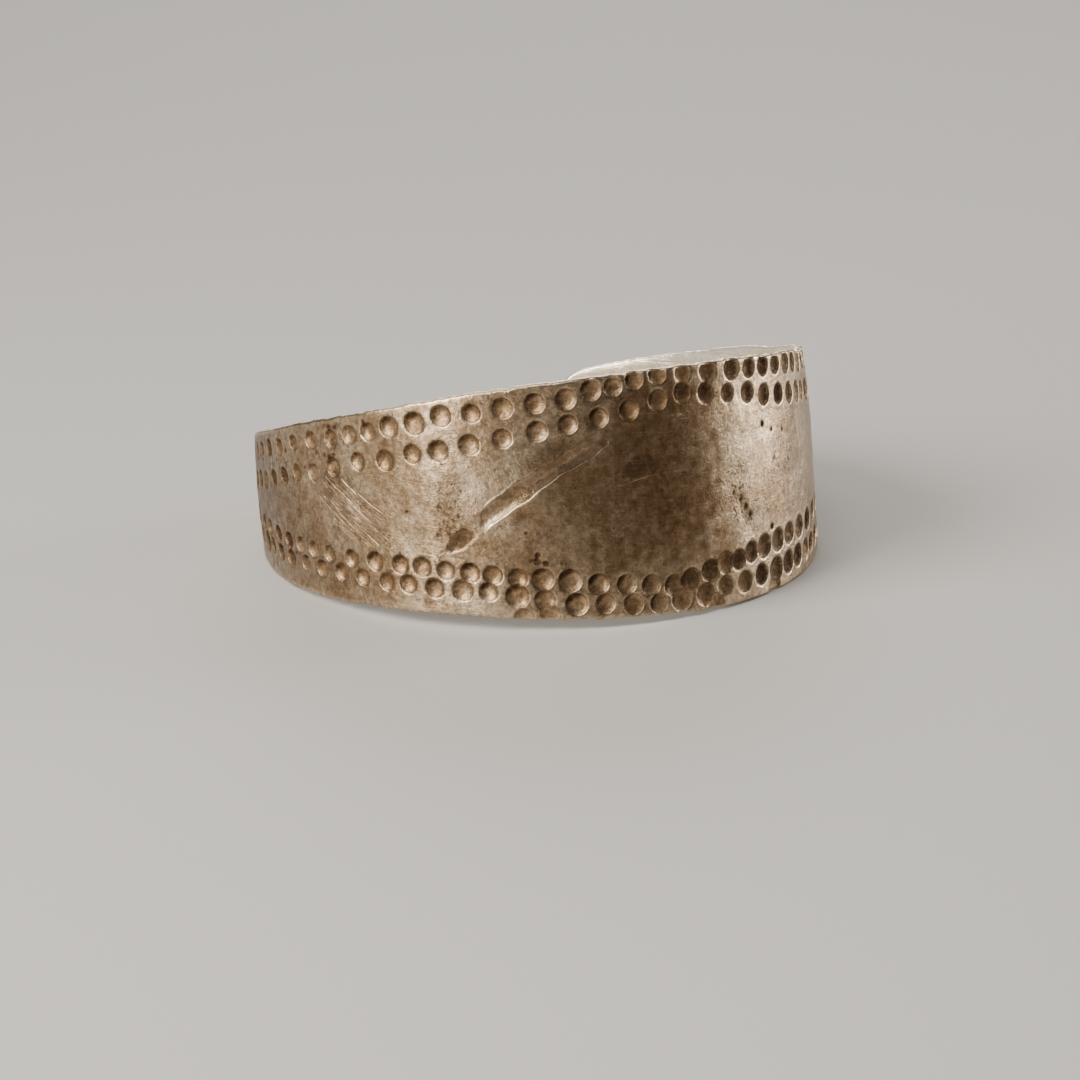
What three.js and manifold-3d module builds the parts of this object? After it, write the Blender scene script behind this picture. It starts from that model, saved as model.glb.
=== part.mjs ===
// Silver open arm ring: one broad strip of beaten sheet, widest at its middle and tapered to two
// rounded ends, with rows of round dimples punched along both edges, bent into an open oval hoop.
// Millimetres, +Z up. It lies on its lower edge, with the widest part of the band facing -Y, and
// the origin is the centre of its box's underside.

import * as THREE from "three";
import { mergeVertices } from "three/addons/utils/BufferGeometryUtils.js";
import Module from "manifold-3d";

const wasm = await Module();
wasm.setup();

const { degToRad } = THREE.MathUtils;
const hoopCentre = new THREE.Vector2(0, 0);

// The hoop, seen from above: the outer face follows an oval, and both arms stop short of the back.
const shortRadius = 26.93;
const longRadius = 29.62;
const ovalTurn = degToRad(-40.8); // from +X to the oval's short axis
const middleAngle = degToRad(-51.8); // the band's middle, counted from the short axis
const armTurn = degToRad(150); // more than either arm's own turn
const armLength = 72.6; // along the outer face, from the middle of the band to each end

// The strip, seen flat.
const sheetThickness = 0.8;
const meanHeight = 15.54; // of the upper edge above the ground, at the sides of the hoop
const heightSwing = 7.69; // how much higher it is at the front, and lower at the back
const heightSkew = 0.51; // the left arm is a little broader than the right one
const tipLength = 5.5; // the rounded end of each arm
const edgeRound = 0.16; // worn corner along both edges
const lean = 0.126; // the hoop leans back by this much for each millimetre of height

// The lower edge is bowed up at the front left, and lies flat on the ground everywhere else.
const archHeight = 1.19;
const archMiddle = degToRad(-40.2);
const archHalfTurn = degToRad(64);
const archPower = 1.5; // over 1, so the bow runs out gently at both ends

// The punched dimples.
const dimpleRadius = 1.1;
const dimpleFloorRadius = 0.62;
const dimpleDepth = 0.34;
const dimpleSides = 6;
const plainTip = 3.4; // no dimple comes nearer than this to the end of an arm
const innerRowRoom = 11.4; // the inner rows stop where the strip is narrower than this

// Each row keeps a wandering distance from its edge, and a wandering pitch, both against the place
// along the strip, which is 0 at the middle of the band and negative on the left arm.
const rows = [
  {
    edge: "upper",
    inset: [[-35, 1.85], [-12, 1.65], [-2, 0.4], [9, 0.9], [40, 1.2]],
    start: 0.5,
    pitch: [[-48, 2.8], [-36, 3.1], [-31, 2.25], [-24, 2.65], [-17, 3], [-11, 2.85], [-6, 1.85],
      [2, 3.25], [9, 2.45], [18, 2.65]],
    inner: false,
  },
  {
    edge: "upper",
    inset: [[-20, 4.6], [-6, 3.5], [0, 2.4], [9, 3.35], [14, 3.75], [22, 3.95], [40, 4.2]],
    start: 0.15,
    pitch: [[-50, 2.7], [-38, 2.7], [-32, 3.35], [-24, 2.65], [-16, 3.2], [-8, 2.9], [12, 2.8],
      [20, 2.5]],
    inner: true,
  },
  {
    edge: "lower",
    inset: [[-26, 4.35], [-15, 3.75], [-1, 2.6], [4, 4.2], [12, 4.8], [40, 4.7]],
    start: 0,
    pitch: [[-48, 2.65], [-39, 2.3], [-33, 3.1], [-26, 2.35], [-18, 2.15], [-9, 2.65], [-2, 2.4],
      [3, 1.75], [9, 2.25], [18, 2.85]],
    inner: true,
  },
  {
    edge: "lower",
    inset: [[-34, 2.75], [-22, 2.45], [-12, 1.55], [-3, 1.05], [5, 1.9], [14, 2.1], [40, 2.2]],
    start: 1.35,
    pitch: [[-48, 2.25], [-38, 2.9], [-30, 2.6], [-20, 2.55], [-10, 2.75], [0, 2.55], [5, 2.7],
      [14, 2.45]],
    inner: false,
  },
];

// One old chisel mark runs up across the plain field, steep at its lower end.
const chiselRoute = new THREE.QuadraticBezierCurve(
  new THREE.Vector2(-24, 6.9),
  new THREE.Vector2(-15, 14.65),
  new THREE.Vector2(-8, 17.4),
);
const chiselHalfWidth = 1.1; // of the cutter's top, which stands clear of the metal
const chiselFloorHalfWidth = 0.35;
const chiselDepth = 0.3;
const chiselLip = 0.04; // the trough starts and ends this far out of the metal
const chiselSteps = 14;

// How finely the strip is faceted.
const bodySteps = 48;
const tipSteps = 4;
const tipSweep = degToRad(74); // a full quarter turn would bring the end to a point
const cutterLift = 0.3; // how far a cutter stands out of the metal

// The outer face's route along one arm, measured by its length.
function makeArm(direction) {
  const arm = new THREE.EllipseCurve(
    0, 0, shortRadius, longRadius, middleAngle, middleAngle + direction * armTurn, direction < 0,
  );
  arm.arcLengthDivisions = 600;
  return arm;
}
const leftArm = makeArm(-1);
const rightArm = makeArm(1);

// The turn round the oval, from the middle of the band to a place along the strip.
function turnAt(along) {
  const arm = along < 0 ? leftArm : rightArm;
  return Math.sign(along) * armTurn * arm.getUtoTmapping(0, Math.abs(along));
}

function upperEdgeAt(along) {
  const turn = turnAt(along);
  return meanHeight + heightSwing * Math.cos(turn) - heightSkew * Math.sin(2 * turn);
}

function lowerEdgeAt(along) {
  const share = (turnAt(along) - archMiddle) / archHalfTurn;
  return Math.abs(share) < 1 ? archHeight * Math.cos(share * Math.PI / 2) ** archPower : 0;
}

// A point of the bent strip: along it, up from the ground, and out from its outer face.
function bend(along, height, out) {
  const angle = middleAngle + turnAt(along);
  const square = new THREE.Vector2(longRadius * Math.cos(angle), shortRadius * Math.sin(angle));
  const point = new THREE.Vector2(shortRadius * Math.cos(angle), longRadius * Math.sin(angle))
    .addScaledVector(square.normalize(), out)
    .rotateAround(hoopCentre, ovalTurn);
  return new THREE.Vector3(point.x, point.y + lean * height, height);
}

// A closed body through rings of points that all run the same way round.
function loft(rings) {
  const count = rings[0].length;
  const last = (rings.length - 1) * count;
  const index = [];
  for (let i = 1; i < count - 1; i++) {
    index.push(0, i, i + 1);
    index.push(last, last + i + 1, last + i);
  }
  for (let start = 0; start < last; start += count) {
    for (let i = 0; i < count; i++) {
      const here = start + i;
      const next = start + (i + 1) % count;
      index.push(next, here, here + count);
      index.push(next, here + count, next + count);
    }
  }
  const geometry = new THREE.BufferGeometry();
  geometry.setAttribute("position", new THREE.Float32BufferAttribute(
    rings.flat().flatMap((point) => point.toArray()), 3,
  ));
  geometry.setIndex(index);
  return geometry;
}

function toSolid(geometry) {
  geometry.deleteAttribute("normal");
  geometry.deleteAttribute("uv");
  const merged = mergeVertices(geometry, 1e-5);
  return new wasm.Manifold(new wasm.Mesh({
    numProp: 3,
    vertProperties: new Float32Array(merged.attributes.position.array),
    triVerts: new Uint32Array(merged.index.array),
  }));
}

function toGeometry(solid) {
  const mesh = solid.getMesh();
  const geometry = new THREE.BufferGeometry();
  geometry.setAttribute("position", new THREE.BufferAttribute(mesh.vertProperties, 3));
  geometry.setIndex(new THREE.BufferAttribute(mesh.triVerts, 1));
  return geometry;
}

// The value of a line through a few [place, value] points, level beyond its ends.
function read(line, place) {
  const next = line.findIndex(([x]) => x > place);
  if (next === 0) {
    return line[0][1];
  }
  if (next < 0) {
    return line.at(-1)[1];
  }
  const [x0, y0] = line[next - 1];
  const [x1, y1] = line[next];
  return THREE.MathUtils.mapLinear(place, x0, x1, y0, y1);
}

// The strip's section at one place, with worn corners; openness shrinks it in the rounded ends.
function stripSection(along, openness) {
  const middle = (lowerEdgeAt(along) + upperEdgeAt(along)) / 2;
  const halfHeight = openness * (upperEdgeAt(along) - lowerEdgeAt(along)) / 2;
  const low = middle - halfHeight;
  const high = middle + halfHeight;
  return [
    bend(along, low, -edgeRound),
    bend(along, low + edgeRound, 0),
    bend(along, high - edgeRound, 0),
    bend(along, high, -edgeRound),
    bend(along, high, edgeRound - sheetThickness),
    bend(along, high - edgeRound, -sheetThickness),
    bend(along, low + edgeRound, -sheetThickness),
    bend(along, low, edgeRound - sheetThickness),
  ];
}

function makeStrip() {
  const bodyEnd = armLength - tipLength;
  const rings = [];
  for (let step = 0; step <= bodySteps; step++) {
    rings.push(stripSection(THREE.MathUtils.lerp(-bodyEnd, bodyEnd, step / bodySteps), 1));
  }
  for (let step = 1; step <= tipSteps; step++) {
    const angle = tipSweep * step / tipSteps;
    const along = bodyEnd + tipLength * Math.sin(angle);
    rings.unshift(stripSection(-along, Math.cos(angle)));
    rings.push(stripSection(along, Math.cos(angle)));
  }
  return toSolid(loft(rings));
}

// The places along one row, stepped off both ways from its start by the row's own pitch.
function placesAlong(row) {
  const reach = armLength - plainTip;
  const places = [row.start];
  for (const direction of [-1, 1]) {
    let place = row.start;
    while (true) {
      place += direction * read(row.pitch, place);
      const room = upperEdgeAt(place) - lowerEdgeAt(place);
      if (Math.abs(place) > reach || (row.inner && room < innerRowRoom)) {
        break;
      }
      places.push(place);
    }
  }
  return places;
}

// The punch, set into the outer face at one place, square to the metal.
function makePunch(along, height) {
  const slope = (dimpleRadius - dimpleFloorRadius) / dimpleDepth;
  const ring = (out) => Array.from({ length: dimpleSides }, (_, side) => {
    const angle = 2 * Math.PI * side / dimpleSides;
    const radius = dimpleRadius + slope * out;
    return bend(along - radius * Math.cos(angle), height + radius * Math.sin(angle), out);
  });
  return toSolid(loft([ring(-dimpleDepth), ring(cutterLift)]));
}

function makeDimples() {
  const dimples = [];
  for (const row of rows) {
    for (const place of placesAlong(row)) {
      const inset = read(row.inset, place);
      const height = row.edge === "upper" ? upperEdgeAt(place) - inset : lowerEdgeAt(place) + inset;
      dimples.push(makePunch(place, height));
    }
  }
  return dimples;
}

// The chisel mark's cutter: a shallow trough that rises out of the metal at both ends.
function makeChiselMark() {
  const rings = [];
  for (let step = 0; step <= chiselSteps; step++) {
    const share = step / chiselSteps;
    const at = chiselRoute.getPointAt(share);
    const tangent = chiselRoute.getTangentAt(share);
    const across = new THREE.Vector2(-tangent.y, tangent.x);
    const depth = chiselDepth * Math.sin(Math.PI * share) ** 0.5;
    const corner = (sideways, out) => {
      const point = at.clone().addScaledVector(across, sideways);
      return bend(point.x, point.y, out);
    };
    rings.push([
      corner(-chiselHalfWidth, cutterLift),
      corner(chiselHalfWidth, cutterLift),
      corner(chiselFloorHalfWidth, chiselLip - depth),
      corner(-chiselFloorHalfWidth, chiselLip - depth),
    ]);
  }
  return toSolid(loft(rings));
}

function makeBand() {
  let band = makeStrip().subtract(makeChiselMark());
  for (const dimple of makeDimples()) {
    band = band.subtract(dimple);
  }
  const geometry = toGeometry(band);
  geometry.computeBoundingBox();
  const box = geometry.boundingBox;
  const centre = box.getCenter(new THREE.Vector3());
  geometry.translate(-centre.x, -centre.y, -box.min.z);
  return geometry;
}

const wornSilver = new THREE.MeshStandardMaterial({ color: 0xb5a388, roughness: 0.38, metalness: 1 });

const armRing = new THREE.Group();
const band = new THREE.Mesh(makeBand(), wornSilver);
band.name = "band";
armRing.add(band);

export default armRing;
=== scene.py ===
import math
import random

import bpy
import numpy as np
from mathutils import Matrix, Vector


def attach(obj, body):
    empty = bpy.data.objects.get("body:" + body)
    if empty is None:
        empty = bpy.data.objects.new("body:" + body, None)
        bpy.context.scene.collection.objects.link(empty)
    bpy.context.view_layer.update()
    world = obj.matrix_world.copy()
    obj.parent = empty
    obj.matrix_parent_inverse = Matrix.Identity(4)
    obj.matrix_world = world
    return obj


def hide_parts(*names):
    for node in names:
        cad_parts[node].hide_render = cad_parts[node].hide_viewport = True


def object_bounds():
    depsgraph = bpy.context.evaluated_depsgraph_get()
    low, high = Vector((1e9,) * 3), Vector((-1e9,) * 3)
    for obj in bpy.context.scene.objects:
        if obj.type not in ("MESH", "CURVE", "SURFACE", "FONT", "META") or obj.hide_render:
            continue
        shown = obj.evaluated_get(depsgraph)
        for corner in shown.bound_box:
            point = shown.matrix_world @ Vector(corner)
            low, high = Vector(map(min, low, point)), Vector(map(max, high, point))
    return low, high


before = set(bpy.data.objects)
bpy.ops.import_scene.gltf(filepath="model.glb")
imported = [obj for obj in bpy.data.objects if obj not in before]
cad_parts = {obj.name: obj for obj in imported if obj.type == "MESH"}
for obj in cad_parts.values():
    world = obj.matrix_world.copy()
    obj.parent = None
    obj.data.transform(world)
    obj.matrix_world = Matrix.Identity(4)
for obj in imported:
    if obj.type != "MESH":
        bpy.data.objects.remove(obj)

cadLow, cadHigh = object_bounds()
mm = 0.001  # lengths below are millimetres, and Blender works in metres


def readLine(line, place):  # a value along a few [place, value] points, level beyond both ends
    return np.interp(place, [point[0] for point in line], [point[1] for point in line])


def ease(share):  # 0 to 1 with soft starts and stops
    share = np.clip(share, 0, 1)
    return share * share * (3 - 2 * share)


def rampUp(value, start, length):  # 0 before the start, 1 once the length is past
    return ease((value - start) / length)


def ripple(along, height, size, seed, waves=14):  # smooth unevenness, roughly -1 to 1
    draw = random.Random(seed)
    total = 0
    for wave in range(waves):
        turn = draw.uniform(0, math.tau)
        reach = math.tau / (size * draw.uniform(0.7, 1.5))
        total = total + np.sin(
            reach * (np.cos(turn) * along + np.sin(turn) * height) + draw.uniform(0, math.tau)
        )
    return total / math.sqrt(waves)


def ripples(along, height, waves):  # each wave: amount, size, seed, number of waves
    return sum(amount * ripple(along, height, *wave) for amount, *wave in waves)


def towards(x, y, turn):  # how far a place lies in the direction of a turn
    return x * math.cos(turn) + y * math.sin(turn)


def clearSelection():
    if bpy.context.object and bpy.context.object.mode == "EDIT":
        bpy.ops.object.mode_set(mode="OBJECT")
    bpy.ops.object.select_all(action="DESELECT")


# the hoop's plan and the strip's outline, as the maker cut and bent it
hoop = {
    "shortRadius": 26.93,  # outer face, across the oval
    "longRadius": 29.62,
    "ovalTurn": -40.8,  # degrees from +X to the short axis
    "middleAngle": -51.8,  # the band's middle, from the short axis
    "lean": 0.126,  # leans back this much for each millimetre of height
    "bulge": 0.16,  # the wall swells out a little at half height
    "tuck": 0.4, "tuckPlace": 25, "tuckReach": 7,  # and its rim is pressed in on the right
}

strip = {
    "armLength": 72.6,
    "tipLength": 5.5,
    "thickness": 0.8,
    "tipThin": 0.45,  # share of the thickness left at both ends
    "meanHeight": 15.54,
    "heightSwing": 7.69,
    "heightSkew": 0.51,
    "archHeight": 1.19,
    "archMiddle": -40.2,
    "archHalfTurn": 64,
    "archPower": 1.5,
}

edges = {
    "lowerWaver": [[0.09, 13, 41], [0.036, 3.6, 42], [0.035, 1.1, 43]], "lowerMost": 0.12,
    "upperWaver": [[0.09, 13, 47], [0.036, 3.6, 48], [0.035, 1.1, 49]], "upperMost": 0.1,
    "lowerDents": [[-10, 0.35, 0.1], [0.4, 0.35, 0.1], [-30, 0.35, 0.1]],  # along, reach, depth
    "upperDents": [[-16.9, 0.5, 0.12], [-5.6, 0.5, 0.12], [25, 3.2, 0.45]],
    "groundGap": 0.05, "groundFade": 0.4,  # the edge is straight where it stands on the ground
    "wornReach": 0.55, "wornFade": 0.5,  # bare metal along both edges
}

hoopTurns = np.radians(np.linspace(-160, 160, 8001))


def ovalPoint(turns):
    angle = math.radians(hoop["middleAngle"]) + turns
    return hoop["shortRadius"] * np.cos(angle), hoop["longRadius"] * np.sin(angle)


def measureRoute():  # length along the outer face, 0 at the band's middle
    x, y = ovalPoint(hoopTurns)
    steps = np.hypot(np.diff(x), np.diff(y))
    length = np.concatenate([[0], np.cumsum(steps)])
    return length - np.interp(0, hoopTurns, length)


routeLength = measureRoute()


def turnAt(along):
    return np.interp(along, routeLength, hoopTurns)


def upperEdgeAt(along):
    turn = turnAt(along)
    return (strip["meanHeight"] + strip["heightSwing"] * np.cos(turn)
            - strip["heightSkew"] * np.sin(2 * turn))


def lowerEdgeAt(along):
    share = (np.degrees(turnAt(along)) - strip["archMiddle"]) / strip["archHalfTurn"]
    bow = np.clip(np.cos(np.clip(share, -1, 1) * math.pi / 2), 0, 1)
    return strip["archHeight"] * bow ** strip["archPower"]


def bend(along, height, out):  # the flat strip's places, carried onto the leaning oval hoop
    turn = turnAt(along)
    angle = math.radians(hoop["middleAngle"]) + turn
    x, y = ovalPoint(turn)
    squareX = hoop["longRadius"] * np.cos(angle)
    squareY = hoop["shortRadius"] * np.sin(angle)
    size = np.hypot(squareX, squareY)
    x = x + out * squareX / size
    y = y + out * squareY / size
    ovalTurn = math.radians(hoop["ovalTurn"])
    return np.stack([
        x * math.cos(ovalTurn) - y * math.sin(ovalTurn),
        x * math.sin(ovalTurn) + y * math.cos(ovalTurn) + hoop["lean"] * height,
        height,
    ], axis=-1)


# places along the strip count from 0 at its middle and are negative on the left arm
punch = {
    "upperRadius": [[-40, 0.88], [-26, 0.97], [0, 0.98], [8, 1.06], [40, 1.06]],
    "lowerRadius": [[-40, 0.86], [-24, 0.93], [-12, 1.07], [4, 1.08], [12, 1.12], [40, 1.08]],
    "unevenness": 0.05,  # share by which the blows' sizes differ
    "depth": 0.4,
    "depthRange": (0.85, 1.15),
    "depthAlong": [[-50, 0.75], [-44, 0.6], [-36, 0.65], [-30, 1.0]],  # worn flatter on the upper left
    "bowlShape": (2.5, 0.7),  # a flat floor and a steep wall
    "tilt": 0.28,  # most by which a floor slopes to one side
    "dirtAndShadeAlong": [[-60, 1.3], [-42, 1.25], [-34, 1.1], [-14, 1.1], [-6, 1.1], [3, 1.05],
                  [10, 1.1], [45, 0.9]],  # how much dirt and painted shade each mark holds
    "dirtAndShadeRange": (0.7, 1.15),
    "dirtFill": [[-60, 0.85], [-43, 0.8], [-34, 0.25], [-9, 0.3], [2, 0.8]],  # share that lies all over
    "paintedShadeTurn": [[-12, 120], [-4, 160]],  # the rest is painted shade, dark against this side of the wall, in degrees
    "lip": 0.03,  # metal thrown up round each mark, on the crowded right side only
    "lipTurn": [3, 9],
    "lipReach": (1.1, 0.1),  # its place and its spread, in radii of the mark
    "drift": 0.07,  # how far a blow misses its place
    "plainTip": 3.4,
    "innerRowRoom": 11.4,  # the inner rows stop where the strip is narrower
    "strayDepth": 0.8, "strayDirtAndShade": 0.5,
    "ghost": 0.11,  # the bump each blow leaves on the inner face
    "reach": 2.2, "ghostReach": 3,  # no blow touches the metal beyond this
    "seed": 71,
}

punchRows = [
    {
        "edge": "upper", "inner": False, "start": 0.5,
        "inset": [[-35, 1.85], [-12, 1.65], [-2, 0.4], [9, 0.9], [40, 1.2]],
        "pitch": [[-48, 2.8], [-36, 3.1], [-31, 2.25], [-24, 2.65], [-17, 3], [-11, 2.85],
                  [-6, 1.85], [2, 3.25], [9, 2.45], [18, 2.65]],
    },
    {
        "edge": "upper", "inner": True, "start": 0.15,
        "inset": [[-20, 4.6], [-6, 3.5], [0, 2.4], [9, 3.35], [14, 3.75], [22, 3.95], [40, 4.2]],
        "pitch": [[-50, 2.7], [-38, 2.7], [-32, 3.35], [-24, 2.65], [-16, 3.2], [-8, 2.9],
                  [12, 2.8], [20, 2.5]],
    },
    {
        "edge": "lower", "inner": True, "start": 0,
        "inset": [[-26, 4.35], [-15, 3.75], [-1, 2.6], [4, 4.2], [12, 4.8], [40, 4.7]],
        "pitch": [[-48, 2.65], [-39, 2.3], [-33, 3.1], [-26, 2.35], [-18, 2.15], [-9, 2.65],
                  [-2, 2.4], [3, 1.75], [9, 2.25], [18, 2.85]],
    },
    {
        "edge": "lower", "inner": False, "start": 1.35,
        "inset": [[-34, 2.75], [-22, 2.45], [-12, 1.55], [-3, 1.05], [5, 1.9], [14, 2.1],
                  [40, 2.2]],
        "pitch": [[-48, 2.25], [-38, 2.9], [-30, 2.6], [-20, 2.55], [-10, 2.75], [0, 2.55],
                  [5, 2.7], [14, 2.45]],
    },
]

strayBlows = [[-16.7, 0], [-14.3, 0.35], [2.6, 0.4], [11.5, 0.4]]  # a third row, mostly cut away


def placesAlong(row):
    reach = strip["armLength"] - punch["plainTip"]
    places = [row["start"]]
    for direction in (-1, 1):
        place = row["start"]
        while True:
            place += direction * readLine(row["pitch"], place)
            room = upperEdgeAt(place) - lowerEdgeAt(place)
            if abs(place) > reach or (row["inner"] and room < punch["innerRowRoom"]):
                break
            places.append(place)
    return sorted(places)


def listBlows():
    draw = random.Random(punch["seed"])
    blows = []
    for row in punchRows:
        for place in placesAlong(row):
            inset = readLine(row["inset"], place)
            upper = row["edge"] == "upper"
            level = upperEdgeAt(place) - inset if upper else lowerEdgeAt(place) + inset
            radius = readLine(punch[row["edge"] + "Radius"], place)
            wear = readLine(punch["depthAlong"], place) if upper else 1
            blows.append({
                "along": place + draw.gauss(0, punch["drift"]),
                "height": level + draw.gauss(0, punch["drift"]),
                "radius": radius * draw.gauss(1, punch["unevenness"]),
                "depth": punch["depth"] * wear * draw.uniform(*punch["depthRange"]),
                "tilt": draw.uniform(0, punch["tilt"]),
                "tiltTurn": draw.uniform(0, math.tau),
                "dirtAndShade": readLine(punch["dirtAndShadeAlong"], place) * draw.uniform(*punch["dirtAndShadeRange"]),
            })
    for place, inset in strayBlows:
        blows.append({
            "along": place, "height": lowerEdgeAt(place) + inset, "tilt": 0, "tiltTurn": 0,
            "radius": readLine(punch["lowerRadius"], place),
            "depth": punch["depth"] * punch["strayDepth"], "dirtAndShade": punch["strayDirtAndShade"],
        })
    return blows


chisel = {  # the long cut; "share" values below count along it, from 0 at its lower end to 1
    "from": (-23.3, 7.3),
    "pull": (-15, 14.65),  # the curve leans towards this place
    "to": (-8, 17.4),
    "steps": 600,
    "fromAlong": -28, "toAlong": -4, "fromHeight": 3, "toHeight": 21,  # it lies within these
    "halfWidth": 0.86,
    "wavers": [[0.08, 17, 0], [0.06, 43, 1]],  # share of the width, turns, start
    "depth": 0.17,
    "burr": 0.04,
    "burrPlace": 1.1,  # half widths out from the middle of the cut
    "patchEnd": 0.17,  # share where a separate, slightly narrower dent ends
    "patchWidth": 0.85, "patchDepth": 0.9, "patchDirt": 1.05,
    "neckHalf": 0.035,  # bare metal between the dent and the cut
    "endSpread": 0.1,
    "dirtAndShade": (0.3, 0.55),  # dirt on the lower wall, and painted shade added under the upper one
}

pits = [  # along, height, size, depth
    [-5.8, 14.4, 0.7, 0.01], [-5, 14.7, 0.9, 0.01], [-4.1, 15, 0.6, 0.01], [-6.5, 14, 0.3, 0.01],
    [-15.2, 6.5, 0.3, 0.16], [-15.1, 7.1, 0.22, 0.12], [-14.4, 6.3, 0.26, 0.12],
    [-15.8, 6.6, 0.16, 0.1], [-16, 9.2, 0.16, 0.08], [-35.9, 14.1, 0.24, 0.12],
    [-35.3, 14.4, 0.2, 0.1], [-36.6, 14.2, 0.2, 0.1], [-37.9, 14.1, 0.18, 0.1],
    [-35.8, 16.9, 0.22, 0.12], [-34.9, 17.1, 0.18, 0.1], [-36.5, 17, 0.16, 0.1],
    [-31.3, 18.2, 0.16, 0.1], [-39.8, 12.4, 0.15, 0.08], [-41.5, 13.6, 0.2, 0.1],
    [-43.2, 13.2, 0.18, 0.1], [-27.2, 10.4, 0.12, 0.06], [6.5, 9.8, 0.2, 0.08],
    [10.8, 16, 0.22, 0.12], [12.4, 15.2, 0.16, 0.1], [11.4, 6.2, 0.22, 0.1], [7.2, 9, 0.24, 0.1],
    [7.8, 8.2, 0.22, 0.1], [14.6, 14.7, 0.16, 0.1], [5.6, 10.6, 0.16, 0.07],
]
pitDirt = 1.9
pitDirtReach = 1.3  # in sizes of the pit


def chiselPoints():
    share = np.linspace(0, 1, chisel["steps"])
    points = []
    for start, pull, end in zip(chisel["from"], chisel["pull"], chisel["to"]):
        points.append((1 - share) ** 2 * start + 2 * share * (1 - share) * pull + share ** 2 * end)
    return share, points[0], points[1]


def chiselWidth(share):  # narrower in the dent and at both ends
    width = 1
    for amount, turns, start in chisel["wavers"]:
        width = width + amount * np.sin(share * turns + start)
    width = width * chisel["halfWidth"]
    dent = chisel["patchWidth"] - 0.45 * ease((0.06 - share) / 0.06)
    width = width * np.where(share < chisel["patchEnd"], dent, 1)
    return width * (1 - 0.25 * rampUp(share, 0.85, 0.15))


def chiselRelief(along, height):  # relief, dirt and painted shade of the cut, how far its rim and its burr are
    shares, routeX, routeY = chiselPoints()
    near = (along > chisel["fromAlong"]) & (along < chisel["toAlong"])
    near = near & (height > chisel["fromHeight"]) & (height < chisel["toHeight"])
    nearX = along[near]
    nearY = height[near]
    nearest = np.hypot(nearX[:, None] - routeX, nearY[:, None] - routeY).argmin(axis=1)
    slopeX = np.gradient(routeX)[nearest]
    slopeY = np.gradient(routeY)[nearest]
    offX = nearX - routeX[nearest]
    offY = nearY - routeY[nearest]
    side = (slopeX * offY - slopeY * offX) / np.hypot(slopeX, slopeY)  # over 0 above the cut
    ahead = np.hypot(offX, offY) ** 2 - side ** 2
    share = shares[nearest]
    inDent = share < chisel["patchEnd"]
    beyond = np.exp(-np.clip(ahead, 0, None) / chisel["endSpread"])
    neck = np.exp(-((share - chisel["patchEnd"]) / chisel["neckHalf"]) ** 2)
    presence = (1 - 0.95 * neck) * beyond
    shallower = 1 - 0.35 * rampUp(share, 0.4, 0.5)  # the cut runs out upwards
    strength = presence * np.where(inDent, chisel["patchDepth"], shallower)
    width = chiselWidth(share)
    across = side / width
    slopeIn = ease((1.15 - across) / 1.5)  # it slopes in gently from above
    wallUp = ease((across + 1.25) / (1.0 + 0.7 * rampUp(share, 0.35, 0.2)))  # the lower wall is steeper
    trough = -chisel["depth"] * slopeIn * wallUp
    burrBelow = chisel["burr"] * np.exp(-((across + 1.2) / 0.42) ** 2) * (1 - rampUp(share, 0.4, 0.15))
    belowShare = (1 - rampUp(share, 0.38, 0.2)) * rampUp(share, 0.12, 0.06)
    aboveShare = 0.7 * rampUp(share, 0.22, 0.08) * (1 - rampUp(share, 0.42, 0.08))
    fromMiddle = np.abs(across)
    lowerDirt, shadeUnderUpperWall = chisel["dirtAndShade"]
    # dirt in the dent and on the lower wall; the extra under the upper wall is painted shade
    heldDirtAndShade = np.where(inDent, chisel["patchDirt"], lowerDirt + shadeUnderUpperWall * rampUp(across, -0.3, 0.6))
    # bare metal on the cut's lower wall, which also stands in as painted light on the wall facing the
    # lamp
    scrapedAndPaintedLight = rampUp(share, 0.35, 0.2) * ease((1.1 - fromMiddle) / 0.2) * ease(-across / 0.4)
    layers = {
        "out": (0, strength * (trough + burrBelow)),
        "dirtAndShade": (0, presence * ease((1.02 - fromMiddle) / 0.2) * heldDirtAndShade),
        "rim": (1, (fromMiddle - 1) * width + 2 * (1 - presence)),
        "burrGap": (1, np.minimum((fromMiddle - chisel["burrPlace"]) * width, 1)),
        "burrShare": (0, presence * np.where(across < 0, belowShare, aboveShare)),
        "scrapedAndPaintedLight": (0, presence * scrapedAndPaintedLight),
    }
    relief = {}
    for name, (elsewhere, values) in layers.items():
        relief[name] = np.full(along.shape, float(elsewhere))
        relief[name][near] = values
    return relief


creases = [  # soft upright bends left by the hammer: along, lowest and highest reach, rise, spread
    [-12.6, 4, 18, 0.07, 4.5], [-34, 3, 16, 0.05, 5], [1.2, 8, 19, 0.06, 3], [7.4, 3, 20, 0.10, 4],
    [19, 2, 20, 0.06, 4], [-46, 2, 17, 0.06, 5], [33, 2, 16, 0.07, 5], [46, 2, 14, 0.06, 5],
    [58, 1, 10, 0.05, 4], [-60, 1, 10, 0.05, 4],
]
creaseRound = 1.5
creaseFade = 4  # each dies out over this height at both ends


def creaseRelief(along, height):
    total = np.zeros_like(along)
    for place, low, high, rise, spread in creases:
        reach = np.sqrt((along - place) ** 2 + creaseRound)
        ends = rampUp(height, low, creaseFade) * ease((high - height) / creaseFade)
        total = total + rise * np.exp(-reach / spread) * ends
    return total


outerUnevenness = [[0.05, 11, 5], [0.018, 4.2, 6], [0.006, 1.6, 7, 24]]
innerUnevenness = [[0.05, 11, 5], [0.02, 5, 9]]


def nearBlow(along, height, blow, reach):
    return (np.abs(along - blow["along"]) < reach) & (np.abs(height - blow["height"]) < reach)


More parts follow.
